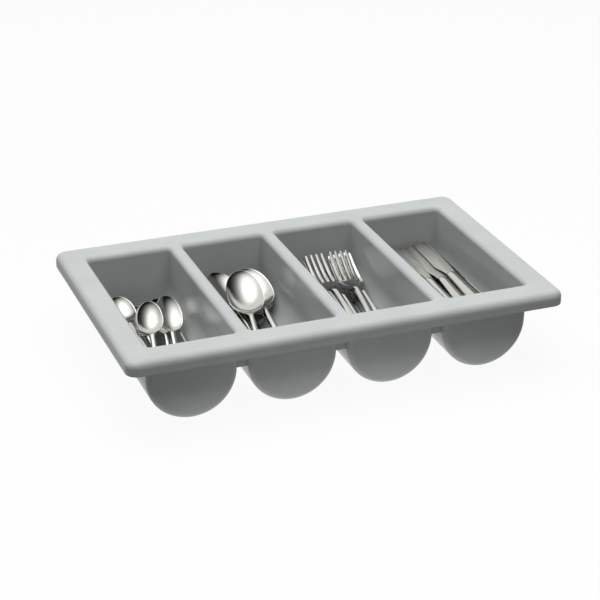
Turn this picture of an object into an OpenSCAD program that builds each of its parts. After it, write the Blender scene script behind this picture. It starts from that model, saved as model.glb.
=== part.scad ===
// Cutlery box: a four-trough moulded tray with its loose cutlery.
// Millimetres. X runs along the tray, -Y is the front, +Z is up.
// The origin is on the ground under the middle of the tray.

/* [Tray] */
// Length over the rim, along X
tray_l = 530; // [524:1:560]
// Depth over the rim, along Y
tray_w = 325; // [319:1:345]
// Height from the ground to the top of the rim
tray_h = 100; // [94:1:125]
// Thickness of the moulded wall
wall = 3; // [2.5:0.1:3.5]
// Height of the lip that hangs from the rim
lip_h = 17; // [13:0.5:22]
// Rounding along the outer top edge of the rim
rim_r = 8.5; // [6:0.5:11]
// Corner radius of the rim, seen from above
corner_r = 14; // [12:1:26]
// Rounding along the lower edge of the lip
lip_edge_r = 1; // [0.5:0.1:1.4]

/* [Troughs] */
// Rim left over at each end of the row of troughs
row_end = 24; // [20:0.5:26]
// Radius of the round trough bottom, inside
trough_r = 50.5; // [48:0.25:51]
// Length of a trough, inside
trough_l = 247; // [236:1:256]
// Rounding where a trough's end meets its sides, inside
end_r = 4; // [3:0.5:8]
// Rounding from the troughs to the top of the rim
flare_r = 6.5; // [5:0.25:7.5]
// Draft of the upright walls, in degrees
draft = 1.5; // [0.5:0.1:2]
// Thickness of the webs that tie the troughs together
web_t = 3; // [2:0.1:4]
// Distance of the webs behind the troughs' end faces
web_recess = 9; // [6:0.5:20]
// Depth of the webs below the middle of the round bottoms
web_drop = 3; // [0:0.5:6]

/* [Spoons] */
// Length of a table spoon
spoon_l = 200; // [185:1:210]
// Length of its bowl
spoon_bowl_l = 72; // [60:1:76]
// Width of its bowl
spoon_bowl_w = 45; // [40:1:48]
// Depth of its bowl
spoon_bowl_d = 8.5; // [6:0.5:10]
// Width at the end of its handle
spoon_end_w = 20; // [16:0.5:22]
// Length of a teaspoon
tea_l = 138; // [130:1:150]
// Length of its bowl
tea_bowl_l = 47; // [42:1:50]
// Width of its bowl
tea_bowl_w = 31; // [27:1:34]
// Depth of its bowl
tea_bowl_d = 6.5; // [5:0.5:8]
// Width at the end of its handle
tea_end_w = 14.5; // [12:0.5:17]

/* [Forks] */
// Length of a table fork
fork_l = 200; // [185:1:210]
// Length of its tines
tine_l = 48; // [40:1:52]
// Length of the palm between the tines and the neck
palm_l = 30; // [26:1:36]
// Width of its head
fork_head_w = 25; // [23:0.5:27]
// Width of one tine
tine_w = 4.3; // [3.2:0.1:4.6]
// Depth of the curve from neck to tips
fork_curve = 9; // [6:0.5:11]
// Rise of the tips above the neck
fork_rise = 5; // [0:0.5:8]
// Width at the end of its handle
fork_end_w = 20; // [16:0.5:22]

/* [Knives] */
// Length of a trough left free beside a table knife
knife_room = 25; // [15:1:40]
// Length of its handle
knife_handle_l = 118; // [100:1:122]
// Width at the end of its handle
knife_end_w = 19; // [16:0.5:21]
// Thickness of its handle
knife_handle_t = 7.5; // [6:0.5:9]
// Width of its handle where the blade starts
bolster_w = 12.5; // [11:0.5:15]
// Thickness of its handle where the blade starts
bolster_t = 5; // [4:0.5:6]
// Width of its blade
blade_w = 20; // [17:0.5:22]
// Thickness of its blade
blade_t = 2; // [1.5:0.1:2.6]

/* [Steel] */
// Thickness of the steel at a neck
neck_t = 3.4; // [2.8:0.1:4]
// Width of a neck
neck_w = 6.5; // [5.5:0.5:8]
// Thickness of the steel elsewhere
gauge = 2; // [1.6:0.1:2.4]
// Rise of a bowl's rim from its root to its tip
bowl_rise = 10; // [4:0.5:12]
// Gap kept where one piece rests on another
seat_gap = 0.5; // [0.4:0.05:0.8]
// Gap kept between the pieces and the upright walls
side_gap = 1.5; // [1:0.1:3]

/* [Hidden] */
$fn = 64;
trough_n = 4;
pitch = (tray_l - 2 * row_end) / trough_n;
knife_l = trough_l - knife_room;
axis_z = trough_r + wall;
flare_z = tray_h - flare_r;
wall_grow = (flare_z - axis_z) * tan(draft);
lip_z = tray_h - lip_h;
over = 1;
// Fillet under the rim, large enough to meet the rim's underside at an angle
under_r = flare_r - wall + 0.5;
// Share of its size left at the very end of a handle
end_share = 0.7;
// Power with which a handle narrows to its neck
handle_taper = 2.4;
// How much fuller a bowl is towards its root
bowl_egg = 0.1;
// Power of the outline of a bowl, 2 for an ellipse and more for blunter ends
bowl_full = 2.3;
// Power that rounds the floor of a bowl
bowl_power = 1.3;
// How much a tine thins towards its tip
tine_thinning = 0.4;
// Share of a blade along which its edge curves out from the handle
heel_share = 0.3;
// How far a blade's back stands out beside the handle
back_step = 1;
// Share of a blade at which its blunt tip starts to round off, and how far it rounds
tip_start = 0.9;
tip_depth = 0.7;
plastic_colour = "#8b8f90";
steel_colour = "#c9c9c6";

// How the pieces of each trough were dropped in, lowest first: [share of the free width,
// share of the free length, turn, roll], angles in degrees. A fifth value of 1 stands a
// knife on its edge.
drops = [
    [[0, 0.95, 0, 0], [-0.7, 0.9, 3, 20], [0.7, 0.85, -3, -20], [-0.1, 0.45, 2, 4], [0.9, 0.5, 2, -20],
     [-0.8, 0.6, -2, 20], [0.45, 0.08, -6, -4], [-0.7, 0.62, 2, 4], [0.7, -0.05, -9, -6],
     [-0.25, -0.12, -11, 4]],
    [[0, 0.3, 0, 0], [-0.3, 0.6, 1, -8], [0.4, 0.3, -2, 8], [-0.75, 0.9, 1, -12],
     [0.85, 0.7, 1, 8], [-0.32, 0.95, 2, -8], [0.85, 0.5, -1, 4], [0, -0.2, -9, 2]],
    [[0, 0.2, 0, 0], [-0.6, 0.4, 2, 24], [0.6, 0.7, -2, -24], [0.1, 0.8, -2, 4],
     [-0.8, 0.3, 2, 24], [0.8, 0.9, -2, -24], [0.2, 0.8, -3, -4], [0.9, 0.5, -3, 16],
     [-0.3, 0.9, 2, -10], [0.7, 0.6, -4, 6], [-0.16, 0.6, -2, 2], [0.7, 0.45, -5, -2]],
    [[-0.15, 0, 0, 0, 1], [0.15, 0.5, 0, 0, 1], [-0.45, 0.8, 0, 0, 1], [0.45, -0.5, 0, 0, 1],
     [0.7, 0.4, 0, 0, 1], [-0.7, 0.4, 0, 0, 1], [0.41, 0.5, 178.2, 0, 1], [0.09, 0.5, 1.8, 0, 1],
     [-0.245, 0.5, 178.2, 0, 1], [-0.57, 0.5, 178.2, 0, 1], [0.95, 0.4, 0, 0, 1], [0.72, 0.5, -2, 0, 1],
     [-0.45, 0.6, 176, 0], [-0.4, 0.5, -5, 3], [-0.75, 0.9, -5, -3], [0.56, 0.3, -4, 2],
     [0.26, 0.6, -5, 0], [0.6, 0.8, -3, 4]]
];
function counted(name, c) = [for (i = [1:len(drops[c])]) str(name, "_", i)];

// Middle of a trough along X
function trough_x(c) = (c - (trough_n - 1) / 2) * pitch;

// Tray

// Half of a section through the rim: rounded at the top and, less, at the lip's lower edge
module rim_half(half, top, top_r, low, low_r) {
    translate([0, low + low_r]) square([half, top - top_r - low - low_r]);
    translate([0, low]) square([half - low_r, low_r + over]);
    translate([0, top - top_r - over]) square([half - top_r, top_r + over]);
    translate([half - top_r, top - top_r]) quarter_disc(top_r);
    translate([half - low_r, low + low_r]) mirror([0, 1]) quarter_disc(low_r);
}

module quarter_disc(r) {
    intersection() {
        circle(r);
        square(r);
    }
}

module both_halves() {
    children();
    mirror([1, 0]) children();
}

// Quarter turns at the four corners of an oblong
module at_corners(x, y) {
    for (k = [0:3])
        translate([sign(cos(90 * k + 45)) * x, sign(sin(90 * k + 45)) * y])
            rotate(90 * k) children();
}

// Rounded block under the rim's outer surface, or the hollow inside it when inset by the wall
module rim_block(inset, low, low_r) {
    top = tray_h - inset;
    top_r = rim_r - inset;
    turn_r = corner_r - inset;
    straight = [tray_l - 2 * corner_r, tray_w - 2 * corner_r];
    rotate([90, 0, 0])
        linear_extrude(straight.y, center = true)
            both_halves() rim_half(tray_l / 2 - inset, top, top_r, low, low_r);
    rotate([90, 0, 90])
        linear_extrude(straight.x, center = true)
            both_halves() rim_half(tray_w / 2 - inset, top, top_r, low, low_r);
    at_corners(straight.x / 2, straight.y / 2)
        rotate_extrude(angle = 90) rim_half(turn_r, top, top_r, low, low_r);
}

// Half of a section through a trough's upright walls: drafted, then flared out at the top
module wall_half(half, flare, top) {
    polygon([[0, axis_z], [half, axis_z], [half + wall_grow, flare_z], [0, flare_z]]);
    translate([0, flare_z - over / 2]) square([half, top - flare_z + over / 2]);
    difference() {
        translate([half - over, flare_z]) square([wall_grow + flare + over, top - flare_z]);
        translate([half + wall_grow + flare, flare_z]) circle(flare);
        translate([half + wall_grow + flare, flare_z - over]) square([over, top - flare_z + 2 * over]);
    }
}

// Half of a section along the round bottom, with rounded ends
module bottom_half(r, length, round_r) {
    translate([0, -length / 2 + round_r]) square([r, length - 2 * round_r]);
    translate([0, -length / 2]) square([r - round_r, length]);
    for (y = [-1, 1])
        translate([r - round_r, y * (length / 2 - round_r)]) circle(round_r);
}

// Space of one trough, or the outside of its shell when grown by the wall
module trough_form(grow, flare, top) {
    r = trough_r + grow;
    length = trough_l + 2 * grow;
    round_r = end_r + grow;
    translate([0, 0, axis_z])
        rotate([-90, 0, 0]) rotate_extrude(angle = 180) bottom_half(r, length, round_r);
    rotate([90, 0, 0])
        linear_extrude(length - 2 * round_r, center = true)
            both_halves() wall_half(r, flare, top);
    rotate([90, 0, 90])
        linear_extrude(2 * (r - round_r), center = true)
            both_halves() wall_half(length / 2, flare, top);
    at_corners(r - round_r, length / 2 - round_r)
        rotate_extrude(angle = 90) wall_half(round_r, flare, top);
}

// Web that closes the gap between two troughs near one end
module web() {
    gap = pitch - 2 * trough_r;
    low = axis_z - web_drop;
    translate([-gap / 2 + wall / 2, -web_t, low])
        cube([gap - wall, web_t, tray_h - wall / 2 - low]);
}

module tray() {
    web_y = trough_l / 2 + wall - web_recess;
    color(plastic_colour)
        difference() {
            union() {
                difference() {
                    rim_block(0, lip_z, lip_edge_r);
                    rim_block(wall, lip_z - 2 * lip_edge_r, lip_edge_r);
                }
                for (c = [0:trough_n - 1])
                    translate([trough_x(c), 0]) trough_form(wall, under_r, tray_h - wall / 2);
                for (c = [0:trough_n - 2], side = [0, 1])
                    translate([trough_x(c) + pitch / 2, 0])
                        mirror([0, side]) translate([0, web_y]) web();
            }
            for (c = [0:trough_n - 1])
                translate([trough_x(c), 0]) trough_form(0, flare_r, tray_h + over);
        }
}

// Cutlery

// A piece lies along Y with its handle's end at -Y. Each station along it is a row:
// [y, half width, height of the middle, rise of the edges, thickness, and for a blade the
// distance of its middle from the middle of the handle]

// Smooth step from 0 to 1
function ease(q) = q * q * (3 - 2 * q);

// Handle from its end (q = 0) to the neck (q = 1): waisted and arched
function handle_row(q, length, y0, end_w, arch, neck_z) =
    let (rounded = q == 0 ? end_share : 1)
    let (half = neck_w / 2 + (end_w * rounded - neck_w) / 2 * pow(1 - q, handle_taper))
    let (z = gauge / 2 + (neck_z - gauge / 2) * q * q + arch * sin(180 * q))
    [y0 + length * q, half, z, 0, gauge + (neck_t - gauge) * ease(q)];

// Bowl from its root (q = -1) to its tip (q = 1), fuller towards the root
function bowl_row(q, y_mid, bowl_l, bowl_w, bowl_d, rim_z) =
    let (round_off = sqrt(1 - q * q))
    let (dip = bowl_d * pow(round_off, bowl_power))
    let (full = pow(1 - pow(abs(q), bowl_full), 1 / bowl_full))
    let (half = bowl_w / 2 * full * (1 - bowl_egg * q))
    [y_mid + bowl_l / 2 * q, half, rim_z + bowl_rise * (1 + q) / 2 - dip, dip, gauge];

// Spoon: a handle and an egg-shaped bowl
function spoon_rows(length, bowl_l, bowl_w, bowl_d, end_w) =
    let (y0 = -length / 2)
    let (handle_l = length - bowl_l)
    let (rim_z = bowl_d + gauge / 2)
    concat(
        [for (q = [0, 0.05, 0.2, 0.4, 0.6, 0.8, 0.93])
            handle_row(q, handle_l, y0, end_w, bowl_d / 2, rim_z + gauge)],
        [for (a = [160:-24.5:13])
            bowl_row(cos(a), y0 + handle_l + bowl_l / 2, bowl_l, bowl_w, bowl_d, rim_z)]
    );

// Fork: a handle, a palm that widens, and tines that curve up to their tips
function fork_rows() =
    let (y0 = -fork_l / 2)
    let (head_l = tine_l + palm_l)
    let (handle_l = fork_l - head_l)
    let (neck_z = fork_curve + gauge)
    concat(
        [for (q = [0, 0.05, 0.25, 0.5, 0.75, 0.95])
            handle_row(q, handle_l, y0, fork_end_w, fork_curve / 2, neck_z)],
        [for (q = [0.12, 0.24, palm_l / head_l, 0.55, 0.75, 0.93, 1])
            let (palm_q = min(1, q * head_l / palm_l))
            let (half = neck_w / 2 + (fork_head_w - neck_w) / 2 * sin(90 * palm_q))
            let (dip = fork_curve * sin(180 * pow(q, 0.8)))
            let (z = neck_z - dip + fork_rise * q * q)
            [y0 + handle_l + head_l * q, half, z, 0, gauge * (1 - tine_thinning * q)]]
    );

// Knife: a rounded handle that swells to its end, and a blunt blade whose back runs straight
// on from the handle and whose edge curves out to the left
function knife_rows() =
    let (y0 = -knife_l / 2)
    let (mid_z = knife_handle_t / 2)
    let (blade_l = knife_l - knife_handle_l)
    concat(
        [for (q = [0, 0.04, 0.15, 0.4, 0.7, 0.93, 1])
            let (rounded = q == 0 ? end_share : 1)
            let (half = (knife_end_w + (bolster_w - knife_end_w) * ease(q)) / 2)
            let (full = knife_handle_t + (bolster_t - knife_handle_t) * ease(q))
            [y0 + knife_handle_l * q, half * rounded, mid_z, 0, full * rounded]],
        [for (q = [0.04, 0.14, heel_share, 0.6, tip_start, 0.97, 1])
            let (out = ease(min(1, q / heel_share)))
            let (back = bolster_w / 2 + back_step * out)
            let (width = bolster_w + (blade_w - bolster_w) * out)
            let (into_tip = max(0, q - tip_start) / (1 - tip_start))
            let (tip = sqrt(1 - tip_depth * pow(into_tip, 4)))
            [y0 + knife_handle_l + blade_l * q, width / 2 * tip, mid_z, 0, blade_t, back - width / 2]]
    );

// Distance of a row's middle from the middle of the handle
function aside(row) = len(row) > 5 ? row[5] : 0;

// The same piece standing on its edge: width and thickness change places
function on_edge(rows) =
    let (stand_z = max([for (r = rows) r[1] - aside(r)]))
    [for (r = rows) [r[0], r[4] / 2, stand_z + aside(r), 0, 2 * r[1]]];

function total(list) = list * [for (n = list) 1];

// Balance point along a piece: the middle of its steel
function balance(rows) =
    let (slices = [for (k = [0:len(rows) - 2])
        let (a = rows[k])
        let (b = rows[k + 1])
        [(a[0] + b[0]) / 2, (b[0] - a[0]) * (a[1] * a[4] + b[1] * b[4])]])
    total([for (n = slices) n[0] * n[1]]) / total([for (n = slices) n[1]]);

// Form of a kind of piece: look-up tables along it and across it. Beyond cut_y every
// other column is cut away, which leaves the tines of a fork.
function form(rows, across, crown, cut_y) = [
    [for (r = rows) [r[0], r[1]]],
    [for (r = rows) [r[0], r[2]]],
    [for (r = rows) [r[0], r[3]]],
    [for (r = rows) [r[0], r[4]]],
    [for (s = across) [s, s * s]],
    [for (s = across) [s, 1 - crown * s * s]],
    [for (r = rows) r[0]],
    across,
    cut_y,
    [for (k = [0:len(rows) - 2], part = [0, 1 / 3, 2 / 3])
        rows[k][0] + part * (rows[k + 1][0] - rows[k][0])],
    balance(rows),
    [for (r = rows) [r[0], aside(r)]]
];
function half_at(f, y) = lookup(y, f[0]);
function aside_at(f, y) = lookup(y, f[11]);
function along(f) = f[6];
function across(f) = f[7];
function cut_y(f) = f[8];
function finely_along(f) = f[9];
function balance_y(f) = f[10];

// Height of a piece's upper face (side = 1) or lower face (side = -1) at a share s across it
function face_z(f, s, y, side) =
    lookup(y, f[1]) + lookup(y, f[2]) * lookup(s, f[4]) + side / 2 * lookup(y, f[3]) * lookup(s, f[5]);

plain_across = [-1, -0.5, 0, 0.5, 1];
tine_step = (fork_head_w - tine_w) / 3;
tine_across = [for (k = [0:3], edge = [0, 1]) (k * tine_step + edge * tine_w) * 2 / fork_head_w - 1];
flat_crown = 0.25;
handle_crown = 0.55;

tea_rows = spoon_rows(tea_l, tea_bowl_l, tea_bowl_w, tea_bowl_d, tea_end_w);
table_rows = spoon_rows(spoon_l, spoon_bowl_l, spoon_bowl_w, spoon_bowl_d, spoon_end_w);
forms = [
    form(tea_rows, plain_across, flat_crown, tea_l),
    form(table_rows, plain_across, flat_crown, spoon_l),
    form(fork_rows(), tine_across, flat_crown, fork_l / 2 - tine_l - over),
    form(knife_rows(), plain_across, handle_crown, knife_l),
    form(on_edge(knife_rows()), plain_across, handle_crown, knife_l)
];

// A laid piece: [form, [x, y], turn, roll, foreshortening, slope along it, height]
function plan(p, s, y) =
    let (u = (s * half_at(p[0], y) + aside_at(p[0], y)) * cos(p[3]))
    let (v = y * p[4])
    p[1] + [u * cos(p[2]) - v * sin(p[2]), u * sin(p[2]) + v * cos(p[2])];

// Place on a laid piece, across and along it, of a point seen from above
function own_place(p, point) =
    let (d = point - p[1])
    [d.x * cos(p[2]) + d.y * sin(p[2]), d.y * cos(p[2]) - d.x * sin(p[2])];

// Height of a face of a laid piece at a share s across it
function laid_z(p, s, y, side) =
    p[6] + face_z(p[0], s, y, side / cos(p[3])) + y * p[4] * p[5]
    + (s * half_at(p[0], y) + aside_at(p[0], y)) * sin(p[3]);

// Height of a face above or below a point seen from above, or undef beside the piece
function z_over(p, point, side) =
    let (own = own_place(p, point))
    let (y = own.y / p[4])
    let (s = (own.x / cos(p[3]) - aside_at(p[0], y)) / half_at(p[0], y))
    let (ends = along(p[0]))
    abs(s) <= 1 && y >= ends[0] && y <= ends[len(ends) - 1] ? laid_z(p, s, y, side) : undef;

// Height of the trough's round bottom, with its rounded ends, at a point seen from above
function floor_z(c, point) =
    let (into_end = max(0, abs(point.y) - trough_l / 2 + end_r))
    let (r = trough_r - seat_gap - end_r + sqrt(max(0, end_r * end_r - into_end * into_end)))
    axis_z - sqrt(max(0, r * r - pow(point.x - trough_x(c), 2)));

// Heights that a piece needs along its length to clear the trough and the pieces below
function needs(c, p, below) = concat(
    [for (y = finely_along(p[0]), s = across(p[0]))
        let (point = plan(p, s, y))
        let (tops = [for (b = below) let (z = z_over(b, point, 1)) if (!is_undef(z)) z + seat_gap])
        [y * p[4], max(concat([floor_z(c, point)], tops)) - laid_z(p, s, y, -1)]],
    [for (b = below, y = finely_along(b[0]), s = across(b[0]))
        let (point = plan(b, s, y))
        let (z = z_over(p, point, -1))
        if (!is_undef(z)) [own_place(p, point).y, laid_z(b, s, y, 1) + seat_gap - z]]
);

function highest(list, slope) =
    let (top = max([for (n = list) n[1] - slope * n[0]]))
    [for (n = list) if (n[1] - slope * n[0] >= top) n][0];

// Slope of a piece that rests on one point before its balance point and one behind it
function rest_slope(list, mid, slope, rounds) =
    rounds == 0 ? slope :
    let (front = highest([for (n = list) if (n[0] < mid) n], slope))
    let (back = highest([for (n = list) if (n[0] >= mid) n], slope))
    rest_slope(list, mid, (back[1] - front[1]) / (back[0] - front[0]), rounds - 1);

// Place that shares out the free room on both sides of an extent
function share_room(share, extent, room) =
    let (low = -room - min(extent))
    let (high = room - max(extent))
    (low + high) / 2 + share * (high - low) / 2;

function laid(c, drop, below) =
    let (f = forms[c + (len(drop) > 4 ? drop[4] : 0)])
    let (shrink = len(below) == 0 ? 1 : cos(atan(below[len(below) - 1][5])))
    let (loose = [f, [0, 0], drop[2], drop[3], shrink, 0, 0])
    let (outline = [for (y = along(f), s = [-1, 1]) plan(loose, s, y)])
    let (x = share_room(drop[0], [for (o = outline) o.x], trough_r - side_gap))
    let (y = share_room(drop[1], [for (o = outline) o.y], trough_l / 2 - side_gap))
    let (placed = [f, [trough_x(c) + x, y], drop[2], drop[3], shrink, 0, 0])
    let (list = needs(c, placed, below))
    let (slope = rest_slope(list, balance_y(f) * shrink, 0, 6))
    let (height = max([for (n = list) n[1] - slope * n[0]]))
    [f, placed[1], drop[2], drop[3], shrink, slope, height];

// The lowest n pieces of a trough, each settled on those before it
function pile(c, n) =
    n == 0 ? [] :
    let (below = pile(c, n - 1))
    concat(below, [laid(c, drops[c][n - 1], below)]);

// Solid of one laid piece: an upper and a lower grid of points, joined round their edges
module cutlery(c, i) {
    p = pile(c, i)[i - 1];
    f = p[0];
    rows = len(along(f));
    columns = len(across(f));
    points = [for (side = [1, -1], y = along(f), s = across(f))
        let (place = plan(p, s, y))
        [place.x, place.y, laid_z(p, s, y, side)]];
    function at(r, k) = r * columns + k;
    function under(r, k) = (rows + r) * columns + k;
    function solid(r, k) =
        r >= 0 && r < rows - 1 && k >= 0 && k < columns - 1
        && !(along(f)[r] > cut_y(f) && k % 2 == 1);
    function quad(a, b, c, d) = [[a, b, c], [a, c, d]];
    function edge(a, b) = quad(at(a.x, a.y), at(b.x, b.y), under(b.x, b.y), under(a.x, a.y));
    cells = [for (r = [0:rows - 2], k = [0:columns - 2]) if (solid(r, k)) [r, k]];
    faces = [for (cell = cells)
        let (r = cell[0])
        let (k = cell[1])
        each concat(
            quad(at(r, k), at(r + 1, k), at(r + 1, k + 1), at(r, k + 1)),
            quad(under(r, k), under(r, k + 1), under(r + 1, k + 1), under(r + 1, k)),
            solid(r, k - 1) ? [] : edge([r + 1, k], [r, k]),
            solid(r, k + 1) ? [] : edge([r, k + 1], [r + 1, k + 1]),
            solid(r - 1, k) ? [] : edge([r, k], [r, k + 1]),
            solid(r + 1, k) ? [] : edge([r + 1, k + 1], [r + 1, k])
        )];
    color(steel_colour) polyhedron(points, faces);
}

module teaspoon(i) cutlery(0, i);
module tablespoon(i) cutlery(1, i);
module fork(i) cutlery(2, i);
module knife(i) cutlery(3, i);

tray();
for (i = [1:len(drops[0])]) teaspoon(i);
for (i = [1:len(drops[1])]) tablespoon(i);
for (i = [1:len(drops[2])]) fork(i);
for (i = [1:len(drops[3])]) knife(i);
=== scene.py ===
"""Looks of the cutlery box: a moulded grey tray with loose stainless cutlery in its four troughs."""
import math

import bmesh
import bpy
import numpy as np
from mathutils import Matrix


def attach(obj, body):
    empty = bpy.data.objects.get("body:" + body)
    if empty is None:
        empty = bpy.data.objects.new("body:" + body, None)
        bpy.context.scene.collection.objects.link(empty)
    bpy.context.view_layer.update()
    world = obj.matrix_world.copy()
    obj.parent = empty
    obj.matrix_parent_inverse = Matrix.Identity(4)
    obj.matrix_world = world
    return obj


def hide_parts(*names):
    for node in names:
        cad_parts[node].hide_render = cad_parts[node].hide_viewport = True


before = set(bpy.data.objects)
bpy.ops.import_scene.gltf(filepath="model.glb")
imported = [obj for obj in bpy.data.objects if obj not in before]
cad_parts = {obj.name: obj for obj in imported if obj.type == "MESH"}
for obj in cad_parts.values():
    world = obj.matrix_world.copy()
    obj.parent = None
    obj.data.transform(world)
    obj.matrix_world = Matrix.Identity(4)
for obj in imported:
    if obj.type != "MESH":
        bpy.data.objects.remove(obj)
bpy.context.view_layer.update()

MM = 0.001

# Sizes of the cutlery in millimetres, with its shares, powers and angles, as in the part's source
GAUGE = 2.0
NECK_T = 3.4
NECK_W = 6.5
NECK_START = 0.93
HANDLE_TAPER = 2.4
BOWL_RISE = 10.0
BOWL_EGG = 0.1
BOWL_FULL = 2.3
BOWL_POWER = 1.3
BOWL_FIRST_ANGLE = 160
BOWL_LAST_ANGLE = 13
TEASPOON = dict(length=138.0, bowl_l=47.0, bowl_w=31.0, bowl_d=6.5, end_w=14.5)
TABLESPOON = dict(length=200.0, bowl_l=72.0, bowl_w=45.0, bowl_d=8.5, end_w=20.0)
FORK_L = 200.0
TINE_L = 48.0
PALM_L = 30.0
FORK_HEAD_W = 25.0
TINES = 4
TINE_W = 4.3
TINE_TIP_W = 3.0
TINE_THINNING = 0.4
FORK_CURVE = 9.0
FORK_CURVE_SKEW = 0.8
FORK_RISE = 5.0
FORK_END_W = 20.0
KNIFE_L = 222.0
KNIFE_HANDLE_L = 118.0
KNIFE_END_W = 19.0
KNIFE_HANDLE_T = 7.5
BOLSTER_W = 12.5
BOLSTER_T = 5.0
BOLSTER_STEP = 0.04
BLADE_W = 20.0
BLADE_T = 2.0
HEEL_SHARE = 0.3
BACK_STEP = 1.0
TIP_START = 0.9
TIP_DEPTH = 0.85
TIP_POWER = 4

# Rounded ends, finer than in the solids: their reach in millimetres, or as a share of the end's width or
# of half the bowl
HANDLE_END_REACH = 0.45
KNIFE_END_REACH = 0.4
BOWL_TIP_REACH = 0.02
PALM_EDGE_REACH = 1.2
TINE_POINT_REACH = 5.0
BLADE_TIP_REACH = 1.0

# Cross-sections: the share by which the faces fall from the middle to the sides, the millimetres over which
# a handle's crown goes over to its head's, the width of the rounded edge as a share of half the thickness,
# of which a very large one makes an ellipse, and the points across a face
HANDLE_CROWN = 0.6
HEAD_CROWN = 0.25
CROWN_EASE = 20.0
TINE_CROWN = 0.1
BLADE_CROWN = 0.6
ROUND_EDGE = 1.0
TINE_EDGE = 0.45
BLADE_EDGE = 0.6
OVAL_EDGE = 30.0
LEAST_EDGE = 0.02
FACE_POINTS = 25

# How far a tine reaches into the palm, and how far past a neck or bolster the next finish starts, in
# millimetres
TINE_ROOT = 4.0
FINISH_STEP = 1.0

# How each piece lies, lowest first: turn about the upright and roll along its length, in degrees
LIE = {
    "teaspoon": [(0, 0), (3, 20), (-3, -20), (2, 4), (2, -20), (-2, 20), (-6, -4), (2, 4), (-9, -6),
                 (-11, 4)],
    "tablespoon": [(0, 0), (1, -8), (-2, 8), (1, -12), (1, 8), (2, -8), (-1, 4), (-9, 2)],
    "fork": [(0, 0), (2, 24), (-2, -24), (-2, 4), (2, 24), (-2, -24), (-3, -4), (-3, 16), (2, -10),
             (-4, 6), (-2, 2), (-5, -2)],
    "knife": [(0, 0)] * 6 + [(178.2, 0), (1.8, 0), (178.2, 0), (178.2, 0), (0, 0), (-2, 0), (176, 0),
                             (-5, 3), (-5, -3), (-4, 2), (-5, 0), (-3, 4)],
}
KNIVES_ON_EDGE = 12

# Tolerances: for finding a solid's end row and its corners in millimetres, for merging points in metres
ROW_TOLERANCE = 0.02
CORNER_TOLERANCE = 0.01
MERGE_DISTANCE = 1e-6
NO_WIDTH = 1e-6

# Shading: edges sharper than these angles, in degrees, stay sharp; the weight of large faces over small ones
SHARP_STEEL = 60
SHARP_PLASTIC = 35
FLAT_WALL_WEIGHT = 90

# Finishes: colours, the spans of a pattern's values over which they change, ranges of roughness, and
# pattern sizes and depths in millimetres
PLASTIC_TONES = ("#babebe", "#c1c5c4")
MOTTLE_SPAN = (0.3, 0.7)
PLASTIC_ROUGH = (0.17, 0.25)
PLASTIC_IOR = 1.54
PLASTIC_SPECULAR = 0.3
FLOW_MOTTLE = 45
GLOSS_PATCH = 12
SKIN_GRAIN = 2.5
SKIN_DEPTH = 0.2
POLISHED_TONE = "#cbcbc5"
WIPE_MARK = 9
MIRROR_ROUGH = (0.05, 0.11)
BOWL_ROUGH = (0.1, 0.15)
KNIFE_HANDLE_ROUGH = (0.1, 0.16)
SATIN_TONES = ("#b4b3ad", "#d6d6d1")
LINE_SPAN = (0.35, 0.65)
SATIN_ROUGH = (0.4, 0.62)
GRINDING_LINE = 1.0
GRINDING_STRETCH = 50
GRINDING_DEPTH = 0.05

# Viewpoint of the photograph: degrees, metres, and pixels of a frame 600 wide
VIEW_AZIMUTH = -21.19
VIEW_ELEVATION = 25.43
VIEW_ROLL = 0.26
VIEW_DISTANCE = 2.2262
VIEW_TARGET = (0.0, 0.0, 0.06)
FRAME_PX = 600
FOCAL_PX = 1851.8
CENTRE_PX = (303.65, 301.21)
SENSOR_MM = 36.0

# Room: the direction in which its light is brightest, its strength there and how fast it falls off; the
# tilted plane under which the white backdrop stands, and how softly it ends
WHITE = (1, 1, 1, 1)
SKY_AXIS = (-0.15, 0.35, 0.92)
SKY_STRENGTH = 2.7
SKY_POWER = 8.0
BACKDROP_PLANE = (0.0, 1.2, -1.0)
BACKDROP_EDGE = (-0.15, 0.1)

# Floor: its half size in metres; its tone to the eye and to the light that it throws back; the half size
# of the light panel under the tray, between which multiples of that size its glow fades, and how strong
# it is; how much of the floor the eye and reflections see as plain white
FLOOR_HALF = 8
FLOOR_ROUGH = 0.9
FLOOR_TO_EYE = "#e6e6e6"
FLOOR_TO_TRAY = "#606060"
PANEL_HALF = (0.265, 0.1625)
PANEL_FADE = (0.9, 1.9)
FLOOR_GLOW = 0.76
WHITE_TO_EYE = 0.93
WHITE_TO_GLOSS = 0.45

# Softbox over the tray: metres and watts
SOFTBOX_SIZE = 2.0
SOFTBOX_POWER = 30
SOFTBOX_PLACE = (-0.1, -0.4, 1.85)


# Materials

def linear(hex_colour):
    """sRGB hex to linear RGBA: each channel by the sRGB curve."""
    srgb = np.array([int(hex_colour[i:i + 2], 16) for i in (1, 3, 5)]) / 255
    low = srgb / 12.92
    high = ((srgb + 0.055) / 1.055) ** 2.4
    return (*np.where(srgb <= 0.04045, low, high).tolist(), 1.0)


def add(tree, kind, settings=None, *ordered, **named):
    """Adds a node with its settings, and sets or links its inputs in order or by name: a tuple of (node,
    output) is a link."""
    node = tree.nodes.new(kind)
    for name, value in (settings or {}).items():
        setattr(node, name, value)
    inputs = [(node.inputs[i], value) for i, value in enumerate(ordered)]
    inputs += [(node.inputs[name.replace("_", " ")], value) for name, value in named.items()]
    for socket, value in inputs:
        if isinstance(value, tuple) and isinstance(value[0], bpy.types.Node):
            tree.links.new(value[0].outputs[value[1]], socket)
        else:
            socket.default_value = value
    return node


def new_material(name):
    """A new node material, with its node tree and its Principled shader."""
    material = bpy.data.materials.new(name)
    material.use_nodes = True
    return material, material.node_tree, material.node_tree.nodes["Principled BSDF"]


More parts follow.
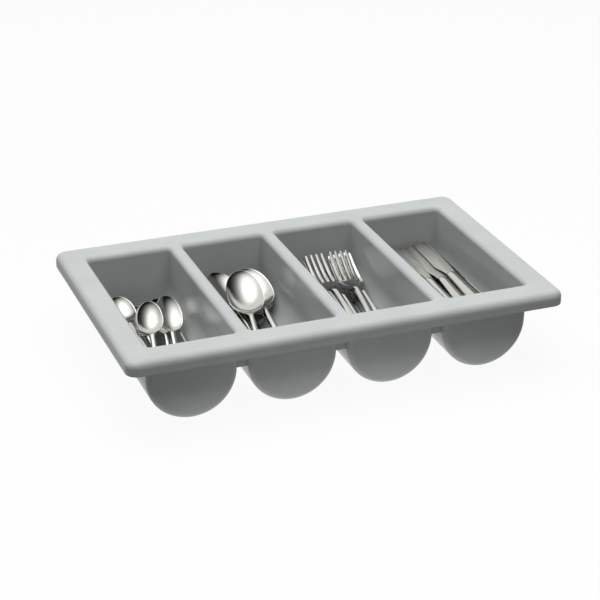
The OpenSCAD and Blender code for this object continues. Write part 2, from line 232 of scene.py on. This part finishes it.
def per_metre(size_mm):
    """Scale of a noise whose features are about that many millimetres across."""
    return 1 / (size_mm * MM)


def moulded_abs():
    """Injection-moulded ABS, mid grey with a semi-gloss skin: soft highlights, a faint flow mottle in the
    colour, and a slight unevenness of gloss and surface a few millimetres across."""
    material, tree, shader = new_material("moulded grey ABS, semi-gloss")
    place = add(tree, "ShaderNodeTexCoord")
    mottle = add(tree, "ShaderNodeTexNoise", Vector=(place, "Object"), Scale=per_metre(FLOW_MOTTLE),
                 Detail=3.0)
    colour = add(tree, "ShaderNodeValToRGB", Fac=(mottle, "Fac"))
    for stop, position, tone in zip(colour.color_ramp.elements, MOTTLE_SPAN, PLASTIC_TONES):
        stop.position = position
        stop.color = linear(tone)
    patches = add(tree, "ShaderNodeTexNoise", Vector=(place, "Object"), Scale=per_metre(GLOSS_PATCH),
                  Detail=2.0)
    gloss = add(tree, "ShaderNodeMapRange", Value=(patches, "Fac"), To_Min=PLASTIC_ROUGH[0],
                To_Max=PLASTIC_ROUGH[1])
    skin = add(tree, "ShaderNodeTexNoise", Vector=(place, "Object"), Scale=per_metre(SKIN_GRAIN),
               Detail=1.0)
    uneven = add(tree, "ShaderNodeBump", Strength=0.04, Distance=SKIN_DEPTH * MM, Height=(skin, "Fac"))
    tree.links.new(colour.outputs["Color"], shader.inputs["Base Color"])
    tree.links.new(gloss.outputs["Result"], shader.inputs["Roughness"])
    tree.links.new(uneven.outputs["Normal"], shader.inputs["Normal"])
    shader.inputs["IOR"].default_value = PLASTIC_IOR
    shader.inputs["Specular IOR Level"].default_value = PLASTIC_SPECULAR
    return material


def polished_steel(name, rough):
    """Stainless steel, pressed and polished: dark and bright reflections, faint wipe marks in the gloss."""
    material, tree, shader = new_material(name)
    place = add(tree, "ShaderNodeTexCoord")
    wipe = add(tree, "ShaderNodeTexNoise", Vector=(place, "Object"), Scale=per_metre(WIPE_MARK),
               Detail=3.0)
    gloss = add(tree, "ShaderNodeMapRange", Value=(wipe, "Fac"), To_Min=rough[0], To_Max=rough[1])
    tree.links.new(gloss.outputs["Result"], shader.inputs["Roughness"])
    shader.inputs["Base Color"].default_value = linear(POLISHED_TONE)
    shader.inputs["Metallic"].default_value = 1.0
    return material


def satin_steel():
    """Stainless steel, ground along the blade: a soft grey reflection with fine lines lengthways, some a
    little darker. The grinding lines are drawn coarser than the real ones so that they show."""
    material, tree, shader = new_material("satin-ground stainless steel")
    place = add(tree, "ShaderNodeTexCoord")
    along = add(tree, "ShaderNodeMapping", Vector=(place, "Object"), Scale=(1.0, 1 / GRINDING_STRETCH, 1.0))
    lines = add(tree, "ShaderNodeTexNoise", Vector=(along, "Vector"), Scale=per_metre(GRINDING_LINE),
                Detail=2.0)
    gloss = add(tree, "ShaderNodeMapRange", Value=(lines, "Fac"), To_Min=SATIN_ROUGH[0],
                To_Max=SATIN_ROUGH[1])
    colour = add(tree, "ShaderNodeValToRGB", Fac=(lines, "Fac"))
    for stop, position, tone in zip(colour.color_ramp.elements, LINE_SPAN, SATIN_TONES):
        stop.position = position
        stop.color = linear(tone)
    ground = add(tree, "ShaderNodeBump", Strength=0.1, Distance=GRINDING_DEPTH * MM, Height=(lines, "Fac"))
    tree.links.new(colour.outputs["Color"], shader.inputs["Base Color"])
    tree.links.new(gloss.outputs["Result"], shader.inputs["Roughness"])
    tree.links.new(ground.outputs["Normal"], shader.inputs["Normal"])
    shader.inputs["Metallic"].default_value = 1.0
    return material


# Shapes of the cutlery: rows along a piece, each [y, half width, height of the middle, rise of the edges,
# thickness, distance of the middle from the handle's middle]

def ease(q):
    """Smooth step: 3q squared less 2q cubed."""
    return q * q * (3 - 2 * q)


def end_round(y, reach):
    """Share of the width left near a rounded end: a quarter ellipse over its reach."""
    return np.sqrt(np.clip(1 - np.clip(1 - y / reach, 0, 1) ** 2, 0, 1))


def opening_steps(share, end, end_count, count):
    """Shares of a way from 0 to end: end_count in its first share, closer towards 0, then even ones."""
    close = np.linspace(0, 1, end_count) ** 2 * share
    return np.concatenate([close, np.linspace(share, end, count)[1:]])


def closing_steps(start, count, power):
    """Shares of a way from start to 1 that lie closer towards 1, by a power of the way left."""
    return 1 - (1 - start) * np.linspace(1, 0, count) ** power


def smooth_through(y_known, known, y):
    """Cubic Hermite curve through known rows, its slope at each the weighted mean of those beside it."""
    step = np.diff(y_known)[:, None]
    slope = np.diff(known, axis=0) / step
    inner = (slope[:-1] * step[1:] + slope[1:] * step[:-1]) / (step[:-1] + step[1:])
    tangent = np.concatenate([slope[:1], inner, slope[-1:]])
    k = np.clip(np.searchsorted(y_known, y, side="right") - 1, 0, len(y_known) - 2)
    q = ((y - y_known[k]) / step[k, 0])[:, None]
    return (known[k] * (1 + 2 * q) * (1 - q) ** 2 + known[k + 1] * q * q * (3 - 2 * q)
            + tangent[k] * step[k] * q * (1 - q) ** 2 + tangent[k + 1] * step[k] * q * q * (q - 1))


def joined(first, second, count):
    """Two runs of rows, and between them count rows on the smooth curve through both."""
    known = np.concatenate([first, second])
    y = np.linspace(first[-1, 0], second[0, 0], count + 2)[1:-1]
    between = np.column_stack([y, smooth_through(known[:, 0], known[:, 1:], y)])
    return np.concatenate([first, between, second])


def handle_rows(length, y0, end_w, arch, neck_z):
    """Handle: its width falls with a power of the distance from its end, its height rises with the square
    of that distance plus an arch."""
    q = opening_steps(share=0.08, end=NECK_START, end_count=12, count=30)
    half = NECK_W / 2 + (end_w - NECK_W) / 2 * (1 - q) ** HANDLE_TAPER
    rounded = end_round(q * length, end_w * HANDLE_END_REACH)
    z = GAUGE / 2 + (neck_z - GAUGE / 2) * q * q + arch * np.sin(np.pi * q)
    thick = (GAUGE + (NECK_T - GAUGE) * ease(q)) * np.sqrt(rounded)
    return np.stack([y0 + length * q, half * rounded, z, 0 * q, thick, 0 * q], axis=1)


def spoon_rows(length, bowl_l, bowl_w, bowl_d, end_w):
    """Spoon: a handle, then an egg-shaped bowl. Its width follows a superellipse along it, its depth a
    power of the sine round it, and a smooth curve joins the two at the neck."""
    y0 = -length / 2
    handle_l = length - bowl_l
    rim_z = bowl_d + GAUGE / 2
    handle = handle_rows(handle_l, y0, end_w, bowl_d / 2, rim_z + GAUGE)
    angle = np.radians(np.linspace(BOWL_FIRST_ANGLE, 0, num=48))
    q = np.cos(angle)
    full = (1 - np.abs(q) ** BOWL_FULL).clip(0) ** (1 / BOWL_FULL)
    dip = bowl_d * np.sin(angle).clip(0) ** BOWL_POWER
    thick = GAUGE * np.sqrt(end_round(1 - q, BOWL_TIP_REACH))
    bowl = np.stack([y0 + handle_l + bowl_l / 2 * (1 + q), bowl_w / 2 * full * (1 - BOWL_EGG * q),
                     rim_z + BOWL_RISE * (1 + q) / 2 - dip, dip, thick, 0 * q], axis=1)
    return joined(handle, bowl, count=10)


def fork_head(y):
    """Height and thickness of a fork's head: a dip that goes with a sine from the neck to the tips, and a
    rise that grows with the square of the way."""
    y_neck = FORK_L / 2 - TINE_L - PALM_L
    q = ((y - y_neck) / (TINE_L + PALM_L)).clip(0, 1)
    dip = FORK_CURVE * np.sin(np.pi * q ** FORK_CURVE_SKEW)
    return FORK_CURVE + GAUGE - dip + FORK_RISE * q * q, GAUGE * (1 - TINE_THINNING * q)


def fork_body_rows():
    """Fork without tines: a handle, then a palm that widens with a sine up to the roots of the tines."""
    handle_l = FORK_L - TINE_L - PALM_L
    handle = handle_rows(handle_l, -FORK_L / 2, FORK_END_W, FORK_CURVE / 2, FORK_CURVE + GAUGE)
    q = closing_steps(start=0.0835, count=30, power=1.7)
    y = -FORK_L / 2 + handle_l + PALM_L * q
    z, thick = fork_head(y)
    half = NECK_W / 2 + (FORK_HEAD_W - NECK_W) / 2 * np.sin(np.pi / 2 * q)
    closing = end_round((1 - q) * PALM_L, PALM_EDGE_REACH)
    palm = np.stack([y, half, z, 0 * q, thick * closing, 0 * q], axis=1)
    return joined(handle, palm, count=8)


def tine_rows():
    """Tine: it follows the head's curve, narrows evenly and ends in a rounded point."""
    length = TINE_L + TINE_ROOT
    q = closing_steps(start=0, count=40, power=1.6)
    y = FORK_L / 2 - length * (1 - q)
    z, thick = fork_head(y)
    half = (TINE_W + (TINE_TIP_W - TINE_W) * q) / 2
    point = end_round((1 - q) * length, TINE_POINT_REACH)
    return np.stack([y, half * point, z, 0 * q, thick * np.sqrt(point), 0 * q], axis=1)


def knife_rows():
    """Knife: a handle that swells to its rounded end, then a blade whose back runs straight on, whose
    edge curves out to one side over the heel, and whose blunt tip rounds off with a power of the way."""
    y0 = -KNIFE_L / 2
    mid_z = KNIFE_HANDLE_T / 2
    q = opening_steps(share=0.1, end=1, end_count=12, count=24)
    rounded = end_round(q * KNIFE_HANDLE_L, KNIFE_END_W * KNIFE_END_REACH)
    half = (KNIFE_END_W + (BOLSTER_W - KNIFE_END_W) * ease(q)) / 2 * rounded
    thick = (KNIFE_HANDLE_T + (BOLSTER_T - KNIFE_HANDLE_T) * ease(q)) * np.sqrt(rounded)
    handle = np.stack([y0 + KNIFE_HANDLE_L * q, half, mid_z + 0 * q, 0 * q, thick, 0 * q], axis=1)
    blade_l = KNIFE_L - KNIFE_HANDLE_L
    step_p = np.linspace(BOLSTER_STEP / 5, BOLSTER_STEP, num=6)
    even_p = np.linspace(0.05, 0.8, num=26)
    p = np.concatenate([step_p, even_p, closing_steps(start=0.81, count=14, power=1.5)])
    out = ease(np.minimum(1, p / HEEL_SHARE))
    back = BOLSTER_W / 2 + BACK_STEP * out
    width = BOLSTER_W + (BLADE_W - BOLSTER_W) * out
    into_tip = (p - TIP_START).clip(0) / (1 - TIP_START)
    tip = np.sqrt((1 - TIP_DEPTH * into_tip ** TIP_POWER).clip(0))
    thinned = BOLSTER_T + (BLADE_T - BOLSTER_T) * ease((p / BOLSTER_STEP).clip(0, 1))
    closing = end_round((1 - p) * blade_l, BLADE_TIP_REACH)
    blade = np.stack([y0 + KNIFE_HANDLE_L + blade_l * p, width / 2 * tip, mid_z + 0 * p, 0 * p,
                      thinned * closing, back - width / 2], axis=1)
    return np.concatenate([handle, blade])


def crown_along(rows, y_head):
    """Crown of the section at each row: full on the handle, eased to a flatter one before the head."""
    into_head = ((rows[:, 0] - y_head) / CROWN_EASE + 1).clip(0, 1)
    return (HANDLE_CROWN + (HEAD_CROWN - HANDLE_CROWN) * ease(into_head))[:, None]


def shell(rows, crown, edge_share, offset=0.0):
    """Closed section carried along the rows. Across it s runs from -1 to 1, closer near the edges. The
    middle line lies at the row's height plus its rise times s squared; the upper and lower faces stand
    off it by half the thickness, less a crown that grows with s squared, and meet in a rounded edge as
    wide as a share of half the thickness. Returns points across, along, mid height and stand-off, each
    rows by columns."""
    s = np.sin(np.linspace(-np.pi / 2, np.pi / 2, FACE_POINTS))
    s = np.concatenate([s, s[-2:0:-1]])
    side = np.concatenate([np.ones(FACE_POINTS), -np.ones(FACE_POINTS - 2)])
    y, half, mid, rise, thick, aside = (column[:, None] for column in rows.T)
    edge = np.clip(edge_share * thick / 2 / np.maximum(half, NO_WIDTH), LEAST_EDGE, 1)
    into_edge = ((np.abs(s) - (1 - edge)) / edge).clip(0, 1)
    off = side * thick / 2 * (1 - crown * s * s) * np.sqrt(1 - into_edge ** 2)
    return half * s + aside + offset, np.broadcast_to(y, off.shape), mid + rise * s * s, off


# Laying the cutlery where its solids lie

def ends_of(node, turn):
    """Where the solid's first and last rows lie: for the least and the greatest distance along the piece,
    that distance, and the middle of the points there across it and in height."""
    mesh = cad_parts[node].data
    points = np.empty(len(mesh.vertices) * 3, np.float32)
    mesh.vertices.foreach_get("co", points)
    points = points.reshape(-1, 3).astype(float) / MM
    t = math.radians(turn)
    along = points @ np.array([-math.sin(t), math.cos(t), 0])
    across = points @ np.array([math.cos(t), math.sin(t), 0])
    found = []
    for end in (along.min(), along.max()):
        row = np.abs(along - end) < ROW_TOLERANCE
        left = row & (across < across[row].min() + CORNER_TOLERANCE)
        right = row & (across > across[row].max() - CORNER_TOLERANCE)
        z = sum((points[edge, 2].min() + points[edge, 2].max()) / 4 for edge in (left, right))
        found.append((end, (across[row].min() + across[row].max()) / 2, z))
    return found


def laid(node, turn, roll, length, ends, points):
    """Puts a piece's points where its solid lies: shortened along its length by the lean, turned, rolled
    by a shear across it and raised by the slope between the solid's two ends. The ends give the height
    and the distance aside of the piece's own first and last rows; u runs across the piece, v along it."""
    across, along, mid, off = points
    t, r = math.radians(turn), math.radians(roll)
    found = [(v, u - aside * math.cos(r), z - height - aside * math.sin(r))
             for (v, u, z), (height, aside) in zip(ends_of(node, turn), ends)]
    (v0, u0, z0), (v1, u1, z1) = found
    shrink = (v1 - v0) / length
    slope = (z1 - z0) / (v1 - v0)
    u = (u0 + u1) / 2 + across * math.cos(r)
    v = (v0 + v1) / 2 + along * shrink
    x = u * math.cos(t) - v * math.sin(t)
    y = u * math.sin(t) + v * math.cos(t)
    z = (z0 + z1) / 2 + mid + off / math.cos(r) + across * math.sin(r) + along * shrink * slope
    return np.stack([x, y, z], axis=-1) * MM


def new_object(name, data):
    """An object for its data, in the scene."""
    made = bpy.data.objects.new(name, data)
    bpy.context.collection.objects.link(made)
    return made


def piece_from_shells(name, node, shells, materials, second_from=None):
    """Mesh of closed shells: each grid of points joined along its rows and round its columns, its
    collapsed ends merged and an open one filled. Rows from second_from on wear the second material."""
    points, faces, second = [], [], []
    base = 0
    for grid in shells:
        rows, columns = grid.shape[:2]
        r, c = np.meshgrid(np.arange(rows - 1), np.arange(columns), indexing="ij")
        here, there = r * columns, (r + 1) * columns
        d = (c + 1) % columns
        quads = np.stack([here + c, here + d, there + d, there + c], axis=-1)
        points.append(grid.reshape(-1, 3))
        faces.append(base + quads.reshape(-1, 4))
        second.append((r >= (second_from or rows)).reshape(-1))
        base += rows * columns
    mesh = bpy.data.meshes.new(name)
    mesh.from_pydata(np.concatenate(points).tolist(), [], np.concatenate(faces).tolist())
    for material in materials:
        mesh.materials.append(material)
    mesh.polygons.foreach_set("material_index", np.concatenate(second).astype(np.int32))
    work = bmesh.new()
    work.from_mesh(mesh)
    bmesh.ops.remove_doubles(work, verts=work.verts, dist=MERGE_DISTANCE)
    bmesh.ops.dissolve_degenerate(work, edges=work.edges, dist=MERGE_DISTANCE)
    bmesh.ops.holes_fill(work, edges=work.edges)
    bmesh.ops.recalc_face_normals(work, faces=work.faces)
    work.to_mesh(mesh)
    work.free()
    mesh.shade_smooth()
    mesh.set_sharp_from_angle(angle=math.radians(SHARP_STEEL))
    piece = new_object(name, mesh)
    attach(piece, node)
    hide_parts(node)


def lay_spoons(kind, size, handle_steel, bowl_steel):
    """All spoons of one kind, each where its solid lies, which stops just before the bowl's tip."""
    rows = spoon_rows(**size)
    y_bowl = size["length"] / 2 - size["bowl_l"]
    root = int(np.searchsorted(rows[:, 0], y_bowl + FINISH_STEP))
    last = math.cos(math.radians(BOWL_LAST_ANGLE))
    cut = size["bowl_l"] / 2 * (1 - last)
    tip_z = size["bowl_d"] + GAUGE / 2 + BOWL_RISE * (1 + last) / 2
    across, along, mid, off = shell(rows, crown_along(rows, y_bowl), ROUND_EDGE)
    points = (across, along + cut / 2, mid, off)
    ends = ((GAUGE / 2, 0), (tip_z, 0))
    steels = [handle_steel, bowl_steel]
    for i, (turn, roll) in enumerate(LIE[kind], 1):
        node = f"{kind}_{i}"
        lay = laid(node, turn, roll, size["length"] - cut, ends, points)
        piece_from_shells(f"{node}_polished", node, [lay], steels, root)


def lay_forks(material):
    """All forks: handle and palm in one shell, and tines that start inside the palm."""
    rows = fork_body_rows()
    body = shell(rows, crown_along(rows, FORK_L / 2 - TINE_L), ROUND_EDGE)
    tine_step = (FORK_HEAD_W - TINE_W) / (TINES - 1)
    offsets = [(k - (TINES - 1) / 2) * tine_step for k in range(TINES)]
    tines = [shell(tine_rows(), TINE_CROWN, TINE_EDGE, offset) for offset in offsets]
    tip_z = float(fork_head(np.array([FORK_L / 2]))[0][0])
    ends = ((GAUGE / 2, 0), (tip_z, 0))
    for i, (turn, roll) in enumerate(LIE["fork"], 1):
        node = f"fork_{i}"
        lays = [laid(node, turn, roll, FORK_L, ends, points) for points in [body] + tines]
        piece_from_shells(f"{node}_polished", node, lays, [material])


def lay_knives(handle_steel, blade_steel):
    """All knives, with an oval handle and a flat blade. One that stands on its edge has its width and
    thickness changed round."""
    rows = knife_rows()
    bolster = int(np.searchsorted(rows[:, 0], -KNIFE_L / 2 + KNIFE_HANDLE_L + FINISH_STEP))
    on_handle = (np.arange(len(rows)) <= bolster)[:, None]
    across, along, mid, off = shell(rows, np.where(on_handle, 0.0, BLADE_CROWN),
                                    np.where(on_handle, OVAL_EDGE, BLADE_EDGE))
    half_width, aside = rows[:, 1], rows[:, 5]
    tip_aside = aside[-1]
    stand = float(np.max(half_width - aside))
    flat = (across, along, mid, off)
    on_edge = (off, along, np.full_like(mid, stand), across)
    flat_ends = ((KNIFE_HANDLE_T / 2, 0), (KNIFE_HANDLE_T / 2, tip_aside))
    edge_ends = ((stand, 0), (stand + tip_aside, 0))
    steels = [handle_steel, blade_steel]
    for i, (turn, roll) in enumerate(LIE["knife"], 1):
        node = f"knife_{i}"
        points, ends = (on_edge, edge_ends) if i <= KNIVES_ON_EDGE else (flat, flat_ends)
        lay = laid(node, turn, roll, KNIFE_L, ends, points)
        piece_from_shells(f"{node}_steel", node, [lay], steels, bolster)


def smooth_tray(material):
    """Tray: the solid's own surface, its loose triangles merged and shaded smooth, with flat walls kept
    flat by normals weighted by face area."""
    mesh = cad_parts["tray"].data.copy()
    mesh.name = "tray_moulding"
    work = bmesh.new()
    work.from_mesh(mesh)
    bmesh.ops.remove_doubles(work, verts=work.verts, dist=MERGE_DISTANCE)
    work.to_mesh(mesh)
    work.free()
    mesh.materials.clear()
    mesh.materials.append(material)
    mesh.shade_smooth()
    mesh.set_sharp_from_angle(angle=math.radians(SHARP_PLASTIC))
    tray = new_object("tray_moulding", mesh)
    weighted = tray.modifiers.new("flat walls stay flat", "WEIGHTED_NORMAL")
    weighted.keep_sharp = True
    weighted.weight = FLAT_WALL_WEIGHT
    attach(tray, "tray")
    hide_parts("tray")


# Studio

def stand_at(thing, place, right, up, back):
    """Puts a camera or a lamp at a place, with its own axes along right, up and back."""
    matrix = np.eye(4)
    matrix[:3, :3] = np.stack([right, up, back], axis=1)
    matrix[:3, 3] = place
    thing.matrix_world = matrix.T.tolist()


def studio_camera():
    """Camera of the photograph: placed round the target by azimuth and elevation, turned a little about
    its own axis, and shifted to the photograph's centre."""
    a, e, r = (math.radians(v) for v in (VIEW_AZIMUTH, VIEW_ELEVATION, VIEW_ROLL))
    back = np.array([math.sin(a) * math.cos(e), -math.cos(a) * math.cos(e), math.sin(e)])
    level = np.array([math.cos(a), math.sin(a), 0.0])
    upright = np.cross(back, level)
    right = level * math.cos(r) + upright * math.sin(r)
    up = upright * math.cos(r) - level * math.sin(r)
    data = bpy.data.cameras.new("view")
    data.sensor_width = SENSOR_MM
    data.lens = FOCAL_PX / FRAME_PX * SENSOR_MM
    data.shift_x = (FRAME_PX / 2 - CENTRE_PX[0]) / FRAME_PX
    data.shift_y = (CENTRE_PX[1] - FRAME_PX / 2) / FRAME_PX
    camera = new_object("view", data)
    stand_at(camera, np.array(VIEW_TARGET) + back * VIEW_DISTANCE, right, up, back)
    bpy.context.scene.camera = camera


def softbox():
    """Square area lamp facing the tray. Polished metal doesn't mirror it: it shows the room instead."""
    data = bpy.data.lights.new("overhead softbox", "AREA")
    data.shape = "SQUARE"
    data.size = SOFTBOX_SIZE
    data.energy = SOFTBOX_POWER
    lamp = new_object("overhead softbox", data)
    back = np.array(SOFTBOX_PLACE) - np.array(VIEW_TARGET)
    back = back / np.linalg.norm(back)
    side = np.cross([0.0, 1.0, 0.0], back)
    side = side / np.linalg.norm(side)
    stand_at(lamp, SOFTBOX_PLACE, side, np.cross(back, side), back)
    lamp.visible_glossy = False


def pale_floor():
    """White floor with a light panel under the tray, whose glow fades with the distance from it: it keeps
    a shadow, the eye sees most of it as plain white and reflections see part of it so."""
    corners = [(x * FLOOR_HALF, y * FLOOR_HALF, 0) for x, y in ((-1, -1), (1, -1), (1, 1), (-1, 1))]
    mesh = bpy.data.meshes.new("floor")
    mesh.from_pydata(corners, [], [(0, 1, 2, 3)])
    floor = new_object("floor", mesh)
    material, tree, shader = new_material("white paper sweep")
    shader.inputs["Roughness"].default_value = FLOOR_ROUGH
    path = add(tree, "ShaderNodeLightPath")
    tone = add(tree, "ShaderNodeMixRGB", Fac=(path, "Is Camera Ray"), Color1=linear(FLOOR_TO_TRAY),
               Color2=linear(FLOOR_TO_EYE))
    tree.links.new(tone.outputs["Color"], shader.inputs["Base Color"])
    mirrored = add(tree, "ShaderNodeMath", {"operation": "MAXIMUM"}, (path, "Is Glossy Ray"),
                   (path, "Is Transmission Ray"))
    in_mirror = add(tree, "ShaderNodeMath", {"operation": "MULTIPLY"}, (mirrored, "Value"), WHITE_TO_GLOSS)
    place = add(tree, "ShaderNodeTexCoord")
    outward = add(tree, "ShaderNodeVectorMath", {"operation": "DIVIDE"}, (place, "Object"),
                  (*PANEL_HALF, 1.0))
    reach = add(tree, "ShaderNodeVectorMath", {"operation": "LENGTH"}, (outward, "Vector"))
    glow = add(tree, "ShaderNodeMapRange", {"interpolation_type": "SMOOTHSTEP"}, Value=(reach, "Value"),
               From_Min=PANEL_FADE[0], From_Max=PANEL_FADE[1], To_Min=FLOOR_GLOW, To_Max=0.0)
    unseen = add(tree, "ShaderNodeMath", {"operation": "MAXIMUM"}, (glow, "Result"), (in_mirror, "Value"))
    share = add(tree, "ShaderNodeMapRange", Value=(path, "Is Camera Ray"), To_Min=(unseen, "Value"),
                To_Max=WHITE_TO_EYE)
    white = add(tree, "ShaderNodeEmission", Color=WHITE, Strength=1.0)
    mix = add(tree, "ShaderNodeMixShader", None, (share, "Result"), (shader, "BSDF"), (white, "Emission"))
    tree.links.new(mix.outputs["Shader"], tree.nodes["Material Output"].inputs["Surface"])
    mesh.materials.append(material)


def studio_world():
    """Room light: brightest overhead, falling off with a power of the cosine from there. The eye sees
    plain white, and reflections see white low down behind the tray, where the backdrop stands."""
    world = bpy.data.worlds.new("studio")
    bpy.context.scene.world = world
    world.use_nodes = True
    tree = world.node_tree
    place = add(tree, "ShaderNodeTexCoord")
    height = add(tree, "ShaderNodeVectorMath", {"operation": "DOT_PRODUCT"}, (place, "Generated"),
                 SKY_AXIS)
    above = add(tree, "ShaderNodeMath", {"operation": "MAXIMUM"}, (height, "Value"), 0.0)
    falling = add(tree, "ShaderNodeMath", {"operation": "POWER"}, (above, "Value"), SKY_POWER)
    sky = add(tree, "ShaderNodeMath", {"operation": "MULTIPLY"}, (falling, "Value"), SKY_STRENGTH)
    under = add(tree, "ShaderNodeVectorMath", {"operation": "DOT_PRODUCT"}, (place, "Generated"),
                BACKDROP_PLANE)
    behind = add(tree, "ShaderNodeMapRange", {"interpolation_type": "SMOOTHSTEP"}, Value=(under, "Value"),
                 From_Min=BACKDROP_EDGE[0], From_Max=BACKDROP_EDGE[1])
    path = add(tree, "ShaderNodeLightPath")
    mirrored = add(tree, "ShaderNodeMath", {"operation": "MAXIMUM"}, (path, "Is Glossy Ray"),
                   (path, "Is Transmission Ray"))
    backdrop = add(tree, "ShaderNodeMath", {"operation": "MULTIPLY"}, (behind, "Result"),
                   (mirrored, "Value"))
    seen = add(tree, "ShaderNodeMath", {"operation": "MAXIMUM"}, (path, "Is Camera Ray"),
               (backdrop, "Value"))
    strength = add(tree, "ShaderNodeMapRange", Value=(seen, "Value"), To_Min=(sky, "Value"), To_Max=1.0)
    background = tree.nodes["Background"]
    background.inputs["Color"].default_value = WHITE
    tree.links.new(strength.outputs["Result"], background.inputs["Strength"])


plastic = moulded_abs()
bright_steel = polished_steel("mirror-polished stainless steel", MIRROR_ROUGH)
bowl_steel = polished_steel("tumble-polished stainless steel spoon bowl", BOWL_ROUGH)
knife_handle_steel = polished_steel("polished stainless steel knife handle", KNIFE_HANDLE_ROUGH)
blade_steel = satin_steel()

smooth_tray(plastic)
lay_spoons("teaspoon", TEASPOON, bright_steel, bowl_steel)
lay_spoons("tablespoon", TABLESPOON, bright_steel, bowl_steel)
lay_forks(bright_steel)
lay_knives(knife_handle_steel, blade_steel)

studio_camera()
softbox()
pale_floor()
studio_world()
bpy.context.scene.view_settings.view_transform = "Standard"
